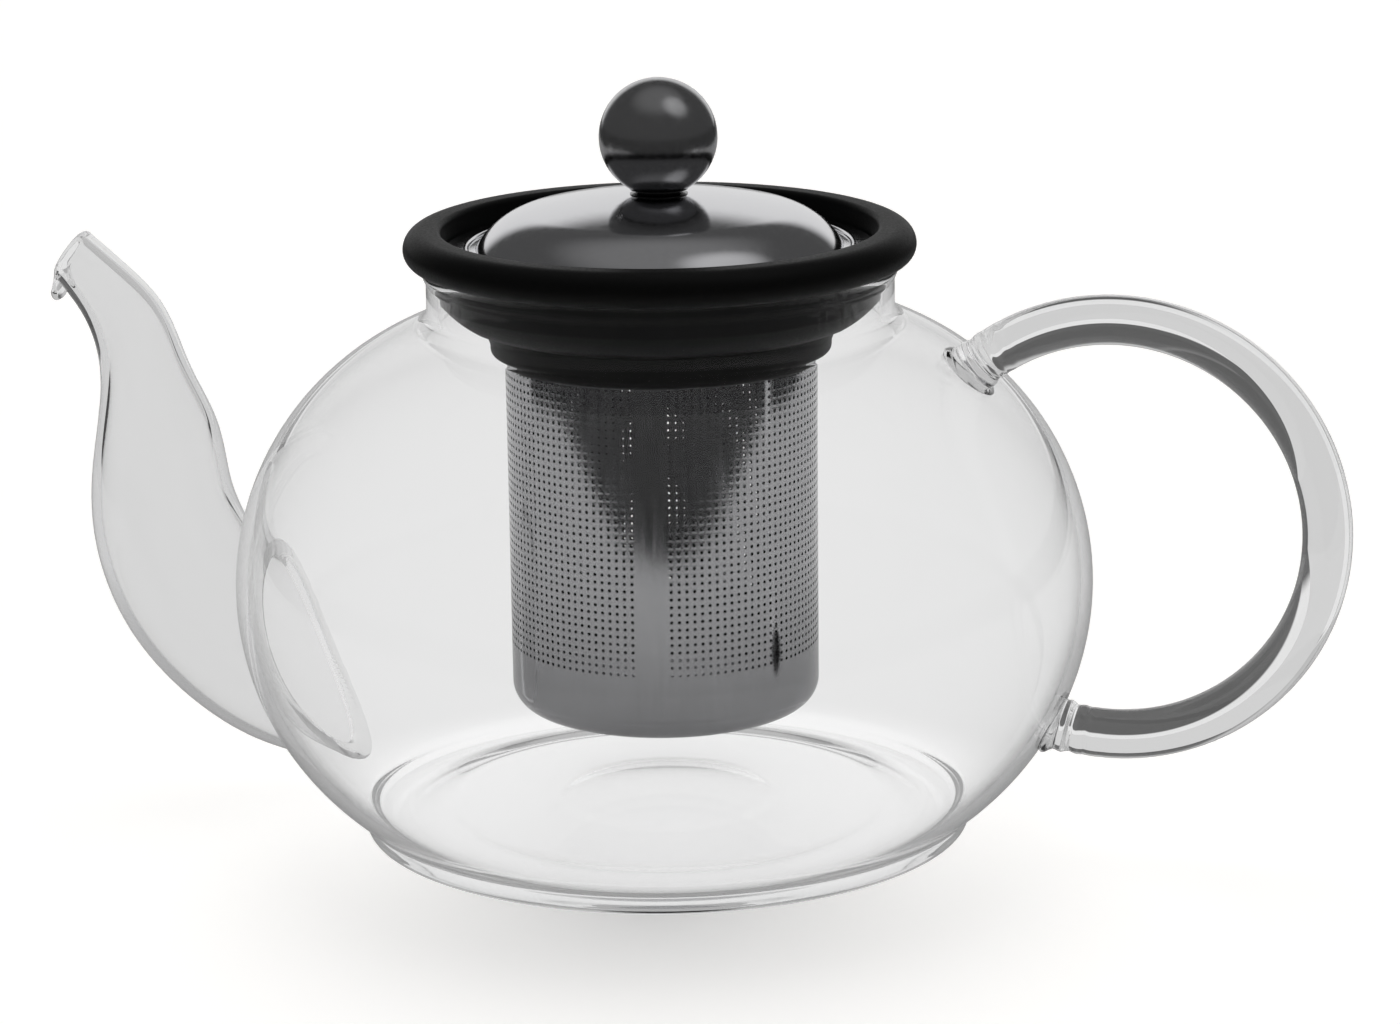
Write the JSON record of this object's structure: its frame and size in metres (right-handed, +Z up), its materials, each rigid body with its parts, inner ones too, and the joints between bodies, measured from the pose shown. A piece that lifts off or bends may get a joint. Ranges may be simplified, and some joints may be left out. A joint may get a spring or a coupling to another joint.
{
  "type": "glass teapot",
  "caption": "Round blown-glass teapot with an S-shaped spout and loop handle, a lift-out steel infuser hung in a black collar, and a loose domed steel lid with a ball knob.",
  "frame": {"origin": "middle of the foot ring, on the table, below the body's axis", "axes": "+Z up along the axis of the body, neck and lid; +X towards the handle; the spout points along -X"},
  "size_m": [0.2348, 0.15, 0.1326],
  "materials": {
    "glass": "clear, fire-polished borosilicate",
    "black_plastic": "satin moulded, black",
    "infuser_steel": "fine perforated stainless sheet",
    "polished_steel": "mirror-polished stainless steel"
  },
  "bodies": {
    "pot": {"glass_body": "glass", "spout": "glass", "handle": "glass"},
    "infuser": {"collar": "black_plastic", "infuser_sleeve": "infuser_steel", "infuser_cup": "infuser_steel"},
    "lid": {"lid_shell": "polished_steel", "knob_spacer": "polished_steel", "knob_ball": "polished_steel", "knob_washer": "polished_steel", "knob_screw": "polished_steel"}
  },
  "joints": [
    {"name": "infuser_lift", "type": "slide", "parent": "pot", "child": "infuser", "axis": [0, 0, 1], "range_m": [0, 0.09]},
    {"name": "lid_lift", "type": "slide", "parent": "infuser", "child": "lid", "axis": [0, 0, 1], "range_m": [0, 0.05]}
  ]
}
